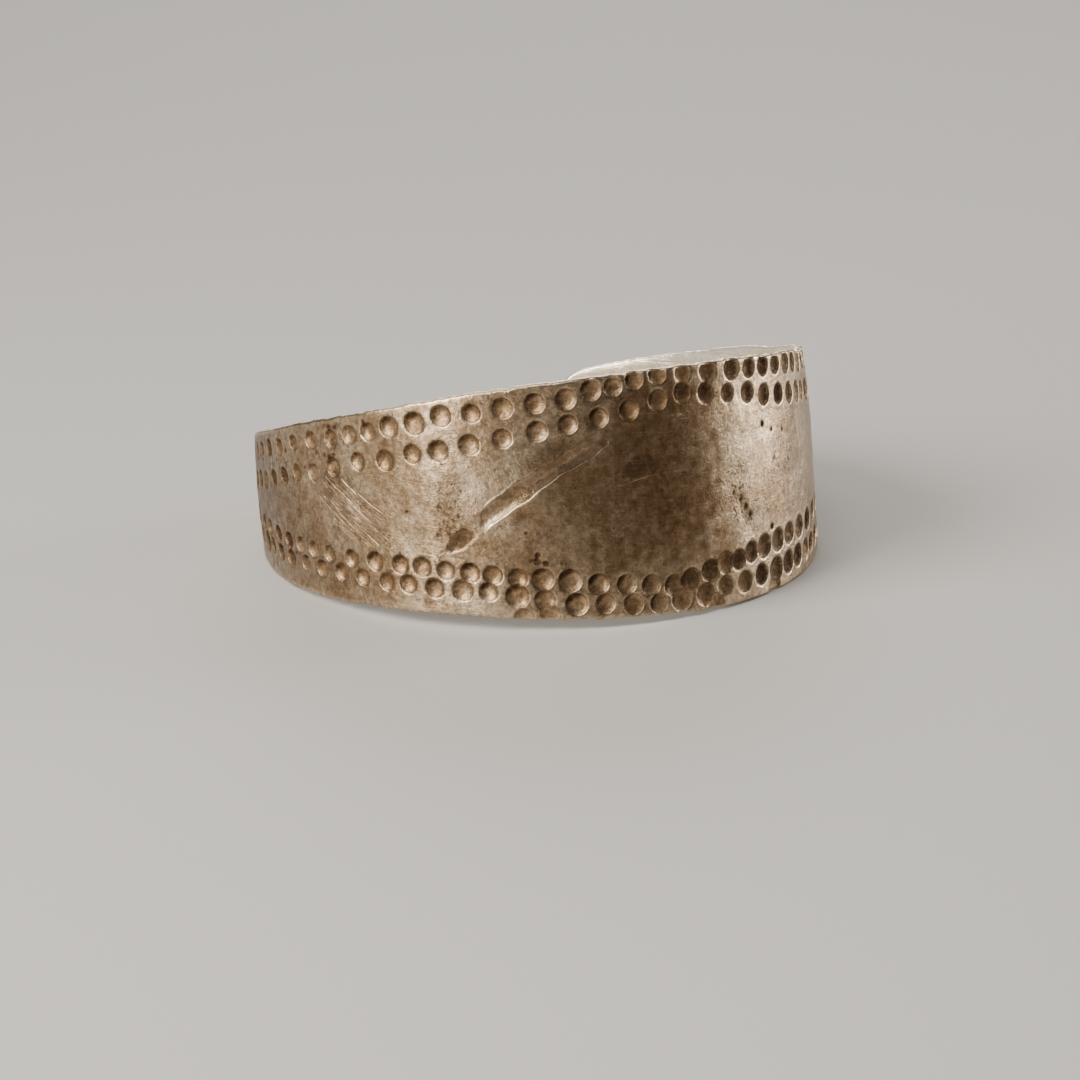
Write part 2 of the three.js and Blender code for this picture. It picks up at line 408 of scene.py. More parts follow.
def faceRelief(along, height, blows):  # the worked outer face: out of it, dirt and painted shade in it, wear on it
    out = creaseRelief(along, height) + ripples(along, height, outerUnevenness)
    hollow, lip, inside, heldDirtAndShade = np.zeros((4, *along.shape))
    rim = np.ones_like(along)  # millimetres out from the nearest mark's rim, less than 0 within it
    fill = readLine(punch["dirtFill"], along)
    lipFrom, lipTo = punch["lipTurn"]
    lipPlace, lipSpread = punch["lipReach"]
    crowding = rampUp(along, lipFrom, lipTo - lipFrom)
    floorPower, wallPower = punch["bowlShape"]
    for blow in blows:
        near = nearBlow(along, height, blow, punch["reach"])
        if not near.any():
            continue
        x = (along[near] - blow["along"]) / blow["radius"]
        y = (height[near] - blow["height"]) / blow["radius"]
        reach = np.hypot(x, y)
        slant = 1 + blow["tilt"] * towards(x, y, blow["tiltTurn"])
        bowl = blow["depth"] * np.clip(1 - reach ** floorPower, 0, 1) ** wallPower * slant
        rise = crowding[near] * np.exp(-((reach - lipPlace) / lipSpread) ** 2)
        # dirt lies evenly over the fill share; the rest is painted shade, darkest on the wall turned
        # from the lamp
        paintedShadeTurn = math.radians(readLine(punch["paintedShadeTurn"], blow["along"]))
        paintedShadeSide = rampUp(towards(x, y, paintedShadeTurn), -0.15, 0.9)
        markDirtAndShade = blow["dirtAndShade"] * np.maximum(paintedShadeSide, fill[near]) * ease((1.04 - reach) / 0.08)
        heldDirtAndShade[near] = np.maximum(heldDirtAndShade[near], markDirtAndShade)
        rim[near] = np.minimum(rim[near], (reach - 1) * blow["radius"])
        hollow[near] = np.maximum(hollow[near], bowl)
        lip[near] = np.maximum(lip[near], rise)
        inside[near] = np.maximum(inside[near], ease((1.02 - reach) / 0.2))
    cut = chiselRelief(along, height)
    heldDirtAndShade = np.maximum(heldDirtAndShade, 0.85 * cut["dirtAndShade"])
    out = out + cut["out"] - hollow + punch["lip"] * lip * (1 - inside)
    for place, level, size, depth in pits:
        reach = np.hypot(along - place, height - level) / size
        out = out - depth * np.exp(-reach ** 2)
        heldDirtAndShade = np.maximum(heldDirtAndShade, pitDirt * np.exp(-(reach / pitDirtReach) ** 2))
    return {
        **cut,
        "out": out,
        "recess": np.clip(inside * ease(hollow / 0.12), 0, 1),
        "worn": np.clip(lip * (1 - inside), 0, 1),
        "heldDirtAndShade": heldDirtAndShade,
        "rim": np.minimum(rim, cut["rim"]),
    }


def snapToBlows(along, height, blows, reach):  # grid points near a mark's rim move onto it
    closest = np.full(along.shape, reach)
    newAlong = along.copy()
    newHeight = height.copy()
    for blow in blows:
        x = along - blow["along"]
        y = height - blow["height"]
        distance = np.hypot(x, y)
        gap = distance - blow["radius"]
        nearer = np.abs(gap) < closest
        closest[nearer] = np.abs(gap[nearer])
        share = blow["radius"] / distance[nearer]
        newAlong[nearer] = blow["along"] + x[nearer] * share
        newHeight[nearer] = blow["height"] + y[nearer] * share
    return newAlong, newHeight


def innerRelief(along, height, blows):  # the inner face keeps a faint bump behind each blow
    out = ripples(along, height, innerUnevenness)
    for blow in blows:
        near = nearBlow(along, height, blow, punch["ghostReach"])
        if near.any():
            reach = np.hypot(along[near] - blow["along"], height[near] - blow["height"])
            out[near] -= punch["ghost"] * np.exp(-(reach / (1.1 * blow["radius"])) ** 2)
    return out


outerPatches = {}  # each patch: along, height, half length, half width, turn, strength
# stains and tarnish; the broad patches over the middle, the right end and the left end also darken as
# painted shade where the metal turns from the lamps
outerPatches["stainAndShade"] = [
    [-47, 8, 5.5, 2.3, 0, 0.6], [-25.6, 2, 0.6, 1.2, 10, 0.7], [7.1, 8.9, 0.7, 2.3, 25, 0.85],
    [-5, 14.8, 1.4, 0.8, 15, 1], [-5, 14.8, 1, 0.6, 15, 1], [-22.8, 12, 1.3, 3.8, -8, 0.4],
    [-21.6, 8.4, 1.2, 0.6, 42, 0.7], [-6, 12.5, 8, 10.5, 0, 0.62], [-12.5, 10, 4.6, 9, 0, 0.3],
    [-4, 15, 5.5, 8, 0, 0.55], [-33, 9, 5.5, 3, -31, 0.55], [-1, 8, 4.2, 6.5, 0, 0.4],
    [-0.2, 14, 4.8, 8.5, 0, 0.7], [-53, 8.2, 5.5, 2.4, 0, 0.45], [-54, 9, 7, 12, 0, 0.82],
    [-46, 9, 6, 12, 0, 0.2], [-41, 3.5, 9, 3.8, 0, 0.35], [-58, 7, 5, 4, 0, 0.4],
    [24, 9, 5, 11, 0, 0.45], [16.5, 12, 3.6, 9, 0, 0.42], [37, 12, 6, 4, 0, 0.4],
    [50, 7, 6, 5, 0, 0.45], [-9.8, 13.4, 0.5, 0.4, 0, 0.6], [-3, 9.2, 0.45, 0.35, 0, 0.7],
    [-5.6, 7.4, 0.6, 0.9, 20, 0.5], [-12.4, 6, 0.7, 1.4, 10, 0.5], [3.6, 12.2, 0.5, 0.4, 0, 0.6],
    [-30, 17.5, 2.5, 1.5, 0, 0.3], [32, 5, 4, 3, 0, 0.4], [61, 6, 5, 4, 0, 0.4],
    [-66, 6, 4, 5, 0, 0.4],
]

outerPatches["speckled"] = [  # where the metal is eaten into most
    [-23, 11.5, 1.7, 4.2, -4, 1], [-36.4, 15.6, 3.6, 1.2, 15, 0.9], [-35.6, 12.4, 1.6, 1, 0, 1],
    [-47, 12.5, 5, 3, 0, 0.8], [-46, 4.8, 6, 2.2, 0, 0.7], [7, 10.2, 2.4, 3.6, 20, 0.8],
    [14.5, 13, 3, 3, 0, 0.5], [-24.5, 5, 4, 2.5, 0, 0.4], [-58, 8, 6, 5, 0, 0.6],
    [40, 8, 7, 5, 0, 0.5], [62, 7, 6, 5, 0, 0.6],
]
outerPatches["scored"] = [[-33.8, 9.3, 5.4, 2.6, -31, 1]]  # rubbed with grit

innerScratches = [  # along, height, turn, half length, half width, depth; below 0 a raised line
    [59.7, 11.2, 62, 0.6, 0.11, 1], [56, 12.2, -9, 5, 0.06, 0.5], [63, 8.9, -10, 4, 0.07, 0.4],
    [50, 14, -7, 4.5, 0.06, 0.5], [44, 17.5, -5, 4, 0.08, 0.4], [58, 10.4, -12, 3, 0.05, -0.8],
    [41, 16, -4, 3.5, 0.06, -0.7], [-20, 12, 3, 6, 0.06, 0.5], [6, 15, -6, 7, 0.07, 0.5],
    [-4, 8, 9, 5, 0.05, -0.7], [22, 11, -14, 5, 0.06, 0.4], [-42, 8, 5, 4, 0.06, 0.5],
]

outerScratches = [  # the same
    [-5.9, 13.2, 11, 2.8, 0.07, 1], [-5.7, 13.34, 11, 2.6, 0.06, -0.3],
    [-3.4, 10.6, 14, 1.1, 0.05, 0.6], [-33.6, 11.7, -34, 1.3, 0.08, -0.7],
    [-31.1, 7.2, -38, 0.8, 0.08, -0.6], [-35, 11.2, -30, 2.4, 0.06, -0.5],
    [-33.2, 10.1, -33, 2.9, 0.06, -0.45], [-34, 8.6, -31, 2.2, 0.06, 0.6],
    [-36.2, 9.3, -31, 2.6, 0.05, 0.5], [-32, 9.2, -35, 2, 0.05, 0.6],
    [-31.2, 10.6, -28, 1.8, 0.05, -0.4], [-14.95, 6.4, -9, 0.9, 0.16, 1],
    [-15.15, 6.85, 86, 0.6, 0.16, 1], [8.6, 12.6, 62, 1.6, 0.06, -0.6],
    [13.2, 6, 20, 1.8, 0.05, 0.6],
]


def paintPatches(along, height, patches):
    shade = np.zeros_like(along)
    edge = 1 + 0.2 * ripple(along, height, 1.8, 31)  # ragged outlines
    for place, level, reachAlong, reachUp, turn, strength in patches:
        turn = math.radians(turn)
        x = along - place
        y = height - level
        lengthwise = towards(x, y, turn) / reachAlong
        crosswise = towards(y, -x, turn) / reachUp
        layer = strength * ease((1.3 - np.hypot(lengthwise, crosswise) * edge) / 0.8)
        shade = shade + layer * (1 - shade)
    return shade


sheetUnit = 0.1  # the flat sheet's map counts centimetres

meshing = {
    "fineFrom": -57, "fineTo": 30,  # the finest columns, where the rows stand closest
    "fineStep": 0.19, "coarseStep": 0.29, "coarsenOver": 4,
    "tipColumns": 16, "tipSweep": 80,
    "zone": 6.2, "zoneShare": 0.36,  # height of the punched strip along each edge, and its most
    "outerRows": (33, 36), "innerRows": (8, 7),  # in each zone and between the zones
    "rimSteps": 5, "rimRound": 0.2, "rimPower": 0.7,  # a rim a little squarer than a half circle
    "snapShare": 0.45,  # of the finest step
    "innerFrom": 0.45,  # faces further round the rim than this share are inner ones
}


def columnPlaces():
    bodyEnd = strip["armLength"] - strip["tipLength"]
    arms = []
    for direction in (-1, 1):
        places = [0]
        while places[-1] < bodyEnd:
            here = direction * places[-1]
            apart = max(meshing["fineFrom"] - here, here - meshing["fineTo"], 0)
            coarser = ease(apart / meshing["coarsenOver"])
            step = meshing["fineStep"] + coarser * (meshing["coarseStep"] - meshing["fineStep"])
            places.append(places[-1] + float(step))
        places = np.array(places) * bodyEnd / places[-1]
        angles = np.radians(np.linspace(0, meshing["tipSweep"], meshing["tipColumns"] + 1))[1:]
        tip = bodyEnd + strip["tipLength"] * np.sin(angles)
        openness = np.concatenate([np.ones(len(places)), np.cos(angles)])
        arms.append((direction * np.concatenate([places, tip]), openness))
    left, right = arms
    along = np.concatenate([left[0][:0:-1], right[0]])
    openness = np.concatenate([left[1][:0:-1], right[1]])
    return along, openness


def rowHeights(low, high, zoneRows, middleRows):  # rows packed towards both edges
    room = high - low
    zone = np.minimum(meshing["zone"], meshing["zoneShare"] * room)
    lower = np.linspace(0, 1, zoneRows + 1)[:-1]
    middle = np.linspace(0, 1, middleRows + 1)[:-1]
    upper = np.linspace(0, 1, zoneRows + 1)
    return np.concatenate([
        low + lower[:, None] * zone,
        low + zone + middle[:, None] * (room - 2 * zone),
        high - zone + upper[:, None] * zone,
    ])


def edgeDents(along, dents):
    total = 0 * along
    for place, reach, depth in dents:
        total = total + depth * np.exp(-((along - place) / reach) ** 2)
    return total


def edgeLines(along, openness):  # both edges, the middle between them, half the strip's width
    low = lowerEdgeAt(along)
    high = upperEdgeAt(along)
    middle = (low + high) / 2
    half = openness * (high - low) / 2
    offGround = rampUp(low, edges["groundGap"], edges["groundFade"])
    lowWaver = ripples(along, 0 * along, edges["lowerWaver"])
    lowWaver = np.clip(lowWaver, -edges["lowerMost"], edges["lowerMost"])
    highWaver = np.minimum(ripples(along, 0 * along, edges["upperWaver"]), edges["upperMost"])
    low = middle - half + offGround * (lowWaver - edgeDents(along, edges["lowerDents"]))
    high = middle + half + highWaver * openness - edgeDents(along, edges["upperDents"])
    return low, high, middle, half


def wallSwell(along, height, middle, half):  # out at half height, the top right corner tucked in
    level = (height - middle) / np.maximum(half, 0.3)
    tuck = hoop["tuck"] * np.exp(-((along - hoop["tuckPlace"]) / hoop["tuckReach"]) ** 2)
    return hoop["bulge"] * (1 - level ** 2) - tuck * np.clip(level, 0, 1) ** 2


elsewhere = {  # what each mark's value is on the rims and on the inner face
    "recess": (0, 0), "worn": (1, 0), "burrGap": (1, 1), "burrShare": (0, 0),
    "scrapedAndPaintedLight": (0, 0), "heldDirtAndShade": (0, 0), "rim": (1, 1),
}


def layOutSection(blows):  # every vertex's place along, height and out, row by row round the sheet
    along, openness = columnPlaces()
    low, high, middle, half = edgeLines(along, openness)
    rim = np.minimum(meshing["rimRound"], 0.25 * (high - low))
    outerHeights = rowHeights(low + rim, high - rim, *meshing["outerRows"])
    innerHeights = rowHeights(low + rim, high - rim, *meshing["innerRows"])[::-1]
    outerAlong = np.broadcast_to(along, outerHeights.shape).copy()
    innerAlong = np.broadcast_to(along, innerHeights.shape).copy()
    inside = (slice(2, -2), slice(3, -3))  # the outermost rows and columns stay
    outerAlong[inside], outerHeights[inside] = snapToBlows(
        outerAlong[inside], outerHeights[inside], blows, meshing["snapShare"] * meshing["fineStep"])

    fade = ease(openness / 0.7)  # the relief dies out at both ends, and the sheet is thinner there
    thinner = strip["thickness"] * (1 - strip["tipThin"]) * (1 - ease(openness / 0.5))
    face = faceRelief(outerAlong, outerHeights, blows)
    outerSwell = wallSwell(outerAlong, outerHeights, middle, half) * openness
    relief = face["out"] * fade + outerSwell - thinner / 2
    innerSwell = wallSwell(innerAlong, innerHeights, middle, half) * openness
    ghosts = innerRelief(innerAlong, innerHeights, blows) * fade
    innerOut = ghosts + innerSwell - strip["thickness"] + thinner / 2

    angles = np.linspace(0, math.pi, meshing["rimSteps"] + 2)[1:-1, None]
    lean = np.sign(np.cos(angles)) * np.abs(np.cos(angles)) ** meshing["rimPower"]
    crown = np.sin(angles) ** meshing["rimPower"]

    def rimRows(outEdge, inEdge, level, side):
        out = (outEdge + inEdge) / 2 + (outEdge - inEdge) / 2 * lean
        return np.broadcast_to(along, out.shape), level + side * rim * crown, out

    innerShare = np.linspace(0, 1, meshing["rimSteps"])[:, None]
    topAlong, topHeights, topOut = rimRows(relief[-1], innerOut[0], high - rim, 1)
    footAlong, footHeights, footOut = rimRows(relief[0], innerOut[-1], low + rim, -1)
    rows = {
        "along": [outerAlong, topAlong, innerAlong, footAlong[::-1]],
        "height": [outerHeights, topHeights, innerHeights, footHeights[::-1]],
        "out": [relief, topOut, innerOut, footOut[::-1]],
    }
    for name, (onRim, onInner) in elsewhere.items():
        rows[name] = [face[name], 0 * topOut + onRim, 0 * innerOut + onInner, 0 * footOut + onRim]
    rows["within"] = [0 * relief, 0 * topOut + innerShare, 0 * innerOut + 1,
                      0 * footOut + innerShare[::-1]]
    for name in rows:
        rows[name] = np.concatenate(rows[name])
        rows[name] = np.concatenate([rows[name], rows[name][:1]])  # back to the first row
    edgeNear = np.minimum(rows["height"] - low, high - rows["height"])
    bareEdge = ease((edges["wornReach"] - edgeNear) / edges["wornFade"])
    rows["worn"] = np.maximum(rows["worn"], (1 - rows["recess"]) * bareEdge)
    for name, patches in outerPatches.items():
        painted = paintPatches(rows["along"], rows["height"], patches)
        rows[name] = painted * (1 - rows["within"])
    rows["stainAndShade"] *= (1 - 0.8 * rows["worn"]) * (1 - 0.25 * rows["scrapedAndPaintedLight"])  # rubbed off, and lifted in the cut as painted light
    return rows


def setAttribute(mesh, name, values):
    layer = mesh.attributes.new(name, "FLOAT", "POINT")
    layer.data.foreach_set("value", values.astype(np.float32))


def buildBand():
    blows = listBlows()
    rows = layOutSection(blows)
    rowCount, columnCount = rows["along"].shape
    clearSelection()
    bpy.ops.mesh.primitive_grid_add(x_subdivisions=columnCount - 1, y_subdivisions=rowCount - 1,
                                    size=1)
    band = bpy.context.object
    band.name = "beatenBand"
    mesh = band.data
    places = np.empty(len(mesh.vertices) * 3)
    mesh.vertices.foreach_get("co", places)
    places = places.reshape(-1, 3)
    column = np.rint((places[:, 0] + 0.5) * (columnCount - 1)).astype(int)
    row = np.rint((places[:, 1] + 0.5) * (rowCount - 1)).astype(int)
    bent = bend(rows["along"], rows["height"], rows["out"])
    moved = bent[row, column]
    low = moved.min(axis=0)
    shift = (np.array(cadLow) + np.array(cadHigh)) / 2 / mm - (low + moved.max(axis=0)) / 2
    shift[2] = cadLow[2] / mm - low[2]  # it stands where the CAD part stands
    mesh.vertices.foreach_set("co", ((moved + shift) * mm).ravel())
    for name in rows:
        if name not in ("along", "height", "out", "scrapedAndPaintedLight"):
            setAttribute(mesh, name, rows[name][row, column])
    corners = np.empty(len(mesh.loops), dtype=int)
    mesh.loops.foreach_get("vertex_index", corners)
    flat = np.stack([rows["along"][row, column], rows["height"][row, column]], axis=-1)
    mesh.uv_layers[0].name = "flatSheet"
    mesh.uv_layers[0].data.foreach_set("uv", (flat[corners] * sheetUnit).ravel())
    mesh.update()

    bpy.ops.object.mode_set(mode="EDIT")
    bpy.ops.mesh.select_all(action="SELECT")
    bpy.ops.mesh.remove_doubles(threshold=1e-6)  # joins the last row to the first
    bpy.ops.mesh.select_all(action="DESELECT")
    bpy.ops.mesh.select_non_manifold(extend=False, use_wire=False, use_boundary=True,
                                     use_multi_face=False, use_non_contiguous=False, use_verts=False)
    bpy.ops.mesh.edge_face_add()  # closes both ends
    bpy.ops.mesh.select_all(action="SELECT")
    bpy.ops.mesh.normals_make_consistent(inside=False)
    bpy.ops.object.mode_set(mode="OBJECT")
    bpy.ops.object.shade_smooth()
    print("band:", columnCount, "columns,", rowCount, "rows,", len(blows), "punch marks")
    return band, shift * mm


def newGroup(name, vectors, numbers, results):  # every result is a plain number
    group = bpy.data.node_groups.new(name, "ShaderNodeTree")
    for title in vectors:
        group.interface.new_socket(title, in_out="INPUT", socket_type="NodeSocketVector")
    for title, value in numbers.items():
        socket = group.interface.new_socket(title, in_out="INPUT", socket_type="NodeSocketFloat")
        socket.default_value = value
    for title in results:
        group.interface.new_socket(title, in_out="OUTPUT", socket_type="NodeSocketFloat")
    return group, group.nodes.new("NodeGroupInput"), group.nodes.new("NodeGroupOutput")


def addNode(tree, kind, **settings):
    node = tree.nodes.new(kind)
    for name, value in settings.items():
        setattr(node, name, value)
    return node


def connect(node, values):  # numbers are set on the node's inputs, the rest is linked
    for name, value in values.items():
        if isinstance(value, (int, float, tuple)):
            node.inputs[name].default_value = value
        else:
            node.id_data.links.new(value, node.inputs[name])
    return node.outputs


def treeOf(*values):  # the node tree that the sockets among the values belong to
    return next(value.id_data for value in values if not isinstance(value, (int, float, tuple)))


def noise(vector, scale, detail=4, roughness=0.6, distortion=0):
    node = addNode(vector.id_data, "ShaderNodeTexNoise")
    return connect(node, {"Vector": vector, "Scale": scale, "Detail": detail,
                          "Roughness": roughness, "Distortion": distortion})["Fac"]


def remap(value, fromLow, fromHigh, toLow=0, toHigh=1):
    node = addNode(value.id_data, "ShaderNodeMapRange", interpolation_type="SMOOTHSTEP")
    return connect(node, {"Value": value, "From Min": fromLow, "From Max": fromHigh,
                          "To Min": toLow, "To Max": toHigh})["Result"]


def mixColour(factor, first, second, blend="MIX"):
    node = addNode(treeOf(factor, first), "ShaderNodeMix", data_type="RGBA", blend_type=blend)
    return connect(node, {0: factor, 6: first, 7: second})[2]  # the colour sockets


def arithmetic(operation):
    def act(first, second=0.0, clamp=False):
        node = addNode(treeOf(first, second), "ShaderNodeMath", operation=operation, use_clamp=clamp)
        return connect(node, {0: first, 1: second})[0]
    return act


times = arithmetic("MULTIPLY")
plus = arithmetic("ADD")
minus = arithmetic("SUBTRACT")
larger = arithmetic("MAXIMUM")
unsigned = arithmetic("ABSOLUTE")


def grown(value, share, start):
    return plus(times(value, share), start)


def whatIsLeft(value, share):  # of 1, once a share of the value is taken off
    return minus(1.0, times(value, share))


def ownFrame(group, given):  # from the sheet's frame into that of the lines
    turned = addNode(group, "ShaderNodeMapping", vector_type="TEXTURE")
    ways = {"Vector": "Vector", "Location": "Place", "Rotation": "Turn", "Scale": "Spread"}
    return connect(turned, {way: given.outputs[title] for way, title in ways.items()
                            if title in given.outputs})["Vector"]


rubbedLines = {
    "grooves": (0.57, 0.65), "ridges": (0.43, 0.35),  # of the stretched noise
    "patchNoise": (5, 3), "patches": (0.33, 0.67, 0.25, 1),
}


def makeScratches():  # fine lines rubbed one way, in patches
    group, given, result = newGroup("rubbedScratches", ["Vector", "Turn", "Spread"],
                                    {"Amount": 1.0}, ["Height", "Bright", "Dirt"])
    lines = noise(ownFrame(group, given), 1, 3)
    grooves = remap(lines, *rubbedLines["grooves"])
    ridges = remap(lines, *rubbedLines["ridges"])
    patchy = noise(given.outputs["Vector"], *rubbedLines["patchNoise"])
    patchy = remap(patchy, *rubbedLines["patches"])
    amount = times(patchy, given.outputs["Amount"])
    connect(result, {
        "Height": times(minus(ridges, grooves), amount),
        "Bright": times(ridges, amount),
        "Dirt": times(grooves, amount),
    })
    return group


singleLine = {"wanderNoise": (4, 2, 0.5), "wander": 4.0, "sides": (1.0, 0.2), "ends": (1.0, 0.6)}


def makeSingleScratch():  # one straight line, fading to both ends
    group, given, result = newGroup("singleScratch", ["Vector", "Place", "Turn", "Spread"],
                                    {}, ["Mask"])
    parts = addNode(group, "ShaderNodeSeparateXYZ")
    connect(parts, {"Vector": ownFrame(group, given)})
    wander = noise(given.outputs["Vector"], *singleLine["wanderNoise"])
    wander = times(minus(wander, 0.5), singleLine["wander"])
    side = unsigned(plus(parts.outputs["Y"], wander))
    across = remap(side, *singleLine["sides"])
    lengthwise = remap(unsigned(parts.outputs["X"]), *singleLine["ends"])
    connect(result, {"Mask": times(across, lengthwise)})
    return group


eaten = {  # noises, and the ranges of them that make specks
    "driftNoise": (300, 3), "amountPush": 0.12, "driftPush": 0.25,
    "coarseNoise": (1500, 3, 0.65), "coarse": (0.70, 0.78),
    "fineNoise": (3200, 3, 0.65), "fine": (0.62, 0.76), "fineShare": 0.65,
}


def makePitting():  # specks eaten into the metal, denser as the amount rises
    group, given, result = newGroup("eatenSpecks", ["Vector"], {"Amount": 0.5}, ["Height", "Mask"])
    place = given.outputs["Vector"]
    drifts = minus(noise(place, *eaten["driftNoise"]), 0.5)
    push = plus(times(given.outputs["Amount"], eaten["amountPush"]),
                times(drifts, eaten["driftPush"]))
    sizes = []
    for size in ("coarse", "fine"):
        grain = noise(place, *eaten[size + "Noise"])
        sizes.append(remap(plus(grain, push), *eaten[size]))
    specks = larger(sizes[0], times(sizes[1], eaten["fineShare"]))
    connect(result, {"Height": times(specks, -1.0), "Mask": specks})
    return group


tarnishing = {  # noises and their ranges; shares and starts of what grows with another layer
    "cloudNoise": (180, 7, 0.7, 0.3), "clouds": (0.34, 0.66),
    "mottleNoise": (1250, 5, 0.72), "mottle": (0.40, 0.63),
    "crumbNoise": (1900, 4, 0.65), "crumbs": (0.53, 0.60), "crumbShare": 0.7,
    "filmByMottle": (0.2, 0.85), "dirtByMottle": (0.3, 0.7), "mottleByClouds": (0.6, 0.4),
    "wornOff": 0.75, "filmOffHollows": 0.5, "mottleOffStains": 0.6, "mottleInHollows": 0.15,
}


def makeTarnishAndShade():  # an even umber film in stains and hollows, partly painted shade, and fine brown mottling over it
    group, given, result = newGroup(
        "brownTarnishAndShade", ["Vector"],
        {"Hollow": 0.0, "Dirt And Shade": 0.0, "Stain And Shade": 0.0, "Worn": 0.0, "Amount": 0.5},
        ["Film And Shade", "Mottle", "Clouds"])
    place, hollow, heldDirtAndShade, stainAndShade, worn, amount = list(given.outputs)[:6]
    clouds = remap(noise(place, *tarnishing["cloudNoise"]), *tarnishing["clouds"])
    mottle = remap(noise(place, *tarnishing["mottleNoise"]), *tarnishing["mottle"])
    kept = whatIsLeft(worn, tarnishing["wornOff"])
    filmAndShade = times(stainAndShade, grown(mottle, *tarnishing["filmByMottle"]))
    filmAndShade = times(filmAndShade, whatIsLeft(hollow, tarnishing["filmOffHollows"]))
    packedDirtAndShade = times(heldDirtAndShade, grown(mottle, *tarnishing["dirtByMottle"]))
    filmAndShade = larger(times(filmAndShade, kept), packedDirtAndShade, clamp=True)
    brown = times(mottle, grown(clouds, *tarnishing["mottleByClouds"]))
    brown = times(brown, amount)
    brown = times(brown, whatIsLeft(stainAndShade, tarnishing["mottleOffStains"]))
    inHollows = times(mottle, tarnishing["mottleInHollows"])
    brown = plus(brown, times(hollow, inHollows))
    crumbs = remap(noise(place, *tarnishing["crumbNoise"]), *tarnishing["crumbs"])
    crumbs = times(times(crumbs, heldDirtAndShade, clamp=True), tarnishing["crumbShare"])
    brown = larger(times(brown, kept), crumbs, clamp=True)
    connect(result, {"Film And Shade": filmAndShade, "Mottle": brown, "Clouds": clouds})
    return group


rimEdges = {  # millimetres out from a mark's rim where each line is absent and where it is full
    "step": (-0.11, 0.03),
    # a dark line just inside the rim, painted shade with some dirt, and a bright line just outside,
    # painted highlight on worn metal
    "darkWithin": (-0.26, -0.07), "darkWithout": (0.02, -0.05),
    "brightWithin": (-0.01, 0.05), "brightWithout": (0.18, 0.06),
    "burr": (0.14, 0.02), "burrHeight": 0.6,  # the same, out from the burr's own line
}


def makeRimEdges():  # sharp edges round every mark and the burr of the cut, from the distance to them; the dark line is painted shade with some dirt, the bright lines painted highlight on worn metal
    group, given, result = newGroup("markEdges", [],
                                    {"Rim": 1.0, "Burr Gap": 1.0, "Burr Share": 0.0},
                                    ["Height", "Dark", "Bright", "Burr"])
    rim = given.outputs["Rim"]
    fromBurr = unsigned(given.outputs["Burr Gap"])
    burr = times(remap(fromBurr, *rimEdges["burr"]), given.outputs["Burr Share"])
    height = plus(remap(rim, *rimEdges["step"]),
                  times(burr, rimEdges["burrHeight"]))
    connect(result, {"Height": height, "Burr": burr})
    for shade in ("dark", "bright"):
        within = remap(rim, *rimEdges[shade + "Within"])
        without = remap(rim, *rimEdges[shade + "Without"])
        connect(result, {shade.capitalize(): times(within, without)})
    return group


def placeGroup(tree, group, values):
    return connect(addNode(tree, "ShaderNodeGroup", node_tree=group), values)


def readAttribute(tree, name):
    return addNode(tree, "ShaderNodeAttribute", attribute_name=name).outputs["Fac"]


silverFinishes = {
    "outerFace": {
        "bright": (0.53, 0.405, 0.27, 1), "dull": (0.32, 0.212, 0.12, 1),
        "umber": (0.10, 0.053, 0.023, 1), "tan": (0.36, 0.215, 0.105, 1),
        "brown": (0.030, 0.0175, 0.0095, 1),
        "polish": 0.29, "grime": 0.5, "tarnish": 0.38, "pits": 0.45, "scratches": 0.5,
        "metal": 0.96, "fleckDark": 0.63, "fleckLight": 1.3, "streaks": 0.12,
        "lineSize": (0.34, 0.012, 1), "singleLines": outerScratches,
    },
    "innerFace": {
        # the inner face is paler silver, partly cleaner metal and partly painted light where the lamps
        # fall on it
        "bright": (0.95, 0.86, 0.72, 1), "dull": (0.80, 0.69, 0.54, 1),
        "umber": (0.3, 0.2, 0.12, 1), "tan": (0.4, 0.3, 0.2, 1), "brown": (0.18, 0.11, 0.06, 1),
        "polish": 0.30, "grime": 0.5, "tarnish": 0.2, "pits": 0.3, "scratches": 0.9,
        "metal": 0.82, "fleckDark": 0.9, "fleckLight": 1.06, "streaks": 0.4,
        "lineSize": (0.8, 0.022, 1), "singleLines": innerScratches,
    },
}

coats = {  # how much each layer adds to the brightness, the dirt and painted shade, the height or the roughness
    "rubbedTurn": -3, "rubbedShine": 0.3, "rubbedHeight": 0.35,
    "gritLines": [(-33, (0.45, 0.015, 1)), (-24, (0.6, 0.011, 1))],
    "grittyShine": 0.13, "grittyDirt": 0.65, "grittyHeight": 0.6,
    "edgeShine": 0.25, "edgeShineStained": 0.3, "edgeShadeAndDirt": 0.5,
    "edgeNoise": (600,), "edgeBreaks": (0.42, 0.6),
    "burrShine": 0.9, "speckDirt": 0.8, "cutDirt": 0.75, "cutHeight": 1.5,
    "deepFrom": 0.35, "deepRise": 1.5, "deepDirtAndShade": 0.85, "deepRough": 0.3, "deepUnmetal": 0.9,
    "deepNoise": (1500, 3), "deepBreaks": (0.36, 0.48, 0.4, 1),
    "fleckNoise": (2300, 4, 0.75), "fleckRange": (0.34, 0.66), "fleckOffStains": 0.5,
    "tanInHollows": 0.5, "wornShine": 0.5, "hollowRough": 0.1,
    "filmDirt": 0.5, "dirtAndShadeWeight": 0.8, "dirtyMetal": 0.5,
    "bump": 0.6, "bumpDistance": 0.00011, "grainNoise": (1500, 3), "grain": 0.5,
    "fineNoise": (4200, 3), "fineGrain": 0.4, "edgeHeight": 0.7,
    "speckHeight": 0.2, "lineHeight": 0.5,
    "dirtShine": 0.04,  # the dirt is dull
}


def coat(value, name):
    return times(value, coats[name])


def turnOf(degrees):
    return 0, 0, math.radians(degrees)


